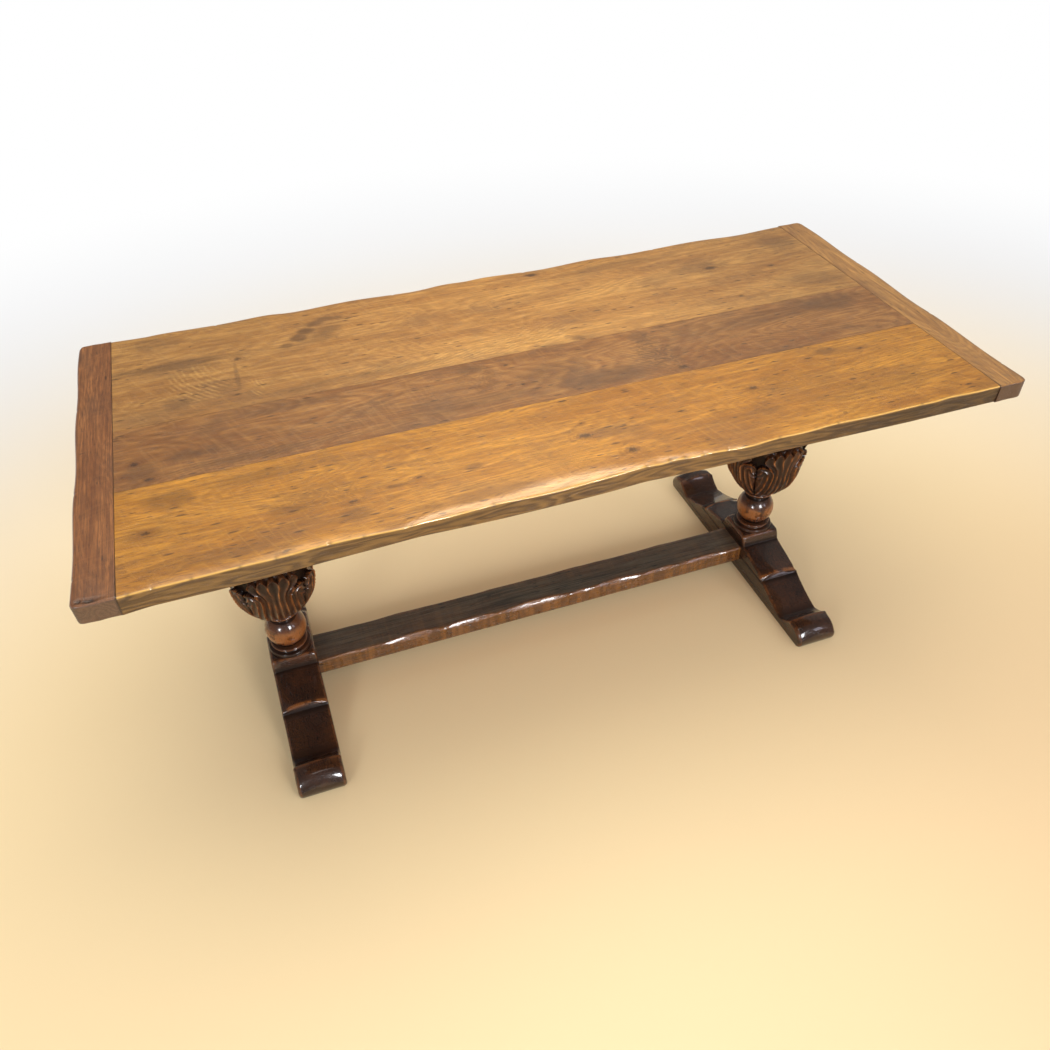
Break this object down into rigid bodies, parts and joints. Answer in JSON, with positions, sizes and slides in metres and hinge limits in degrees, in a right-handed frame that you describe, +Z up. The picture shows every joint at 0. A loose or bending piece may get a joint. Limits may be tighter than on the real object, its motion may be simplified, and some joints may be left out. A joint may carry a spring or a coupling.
{
  "type": "refectory table",
  "caption": "Oak dining table: thick plank top with cleated ends on turned, leaf-carved cup pedestals, stepped trestle feet and a low flat stretcher",
  "frame": {"origin": "on the floor, midway between the feet, under the middle of the top", "axes": "+X along the table's length, +Y across the table towards its back, +Z up"},
  "size_m": [1.8298, 0.84, 0.76],
  "materials": {
    "front_board_oak": "waxed honey-brown oak with knots, satin gloss",
    "middle_board_oak": "waxed darker red-brown oak, satin gloss",
    "back_board_oak": "waxed golden-brown oak with ray flecks, satin gloss",
    "cleat_oak": "waxed dark red-brown oak, grain across the table",
    "dark_oak": "very dark polished oak, worn red-brown on the arrises",
    "pedestal_oak": "very dark polished oak, carved leaves worn orange-brown on their ridges",
    "stretcher_oak": "dark oak, matt and dusty above, polished red-brown on the edges",
    "peg_oak": "plain dark oak peg",
    "screw_steel": "plain steel, dull"
  },
  "bodies": {
    "root": {"top_board_front": "front_board_oak", "top_board_middle": "middle_board_oak", "top_board_back": "back_board_oak", "cleat_left": "cleat_oak", "cleat_right": "cleat_oak", "bearer_left": "dark_oak", "bearer_right": "dark_oak", "bearer_screws_left": "screw_steel", "bearer_screws_right": "screw_steel", "pedestal_left": "pedestal_oak", "pedestal_right": "pedestal_oak", "foot_left": "dark_oak", "foot_right": "dark_oak", "stretcher": "stretcher_oak", "stretcher_peg_left": "peg_oak", "stretcher_peg_right": "peg_oak"}
  },
  "joints": []
}
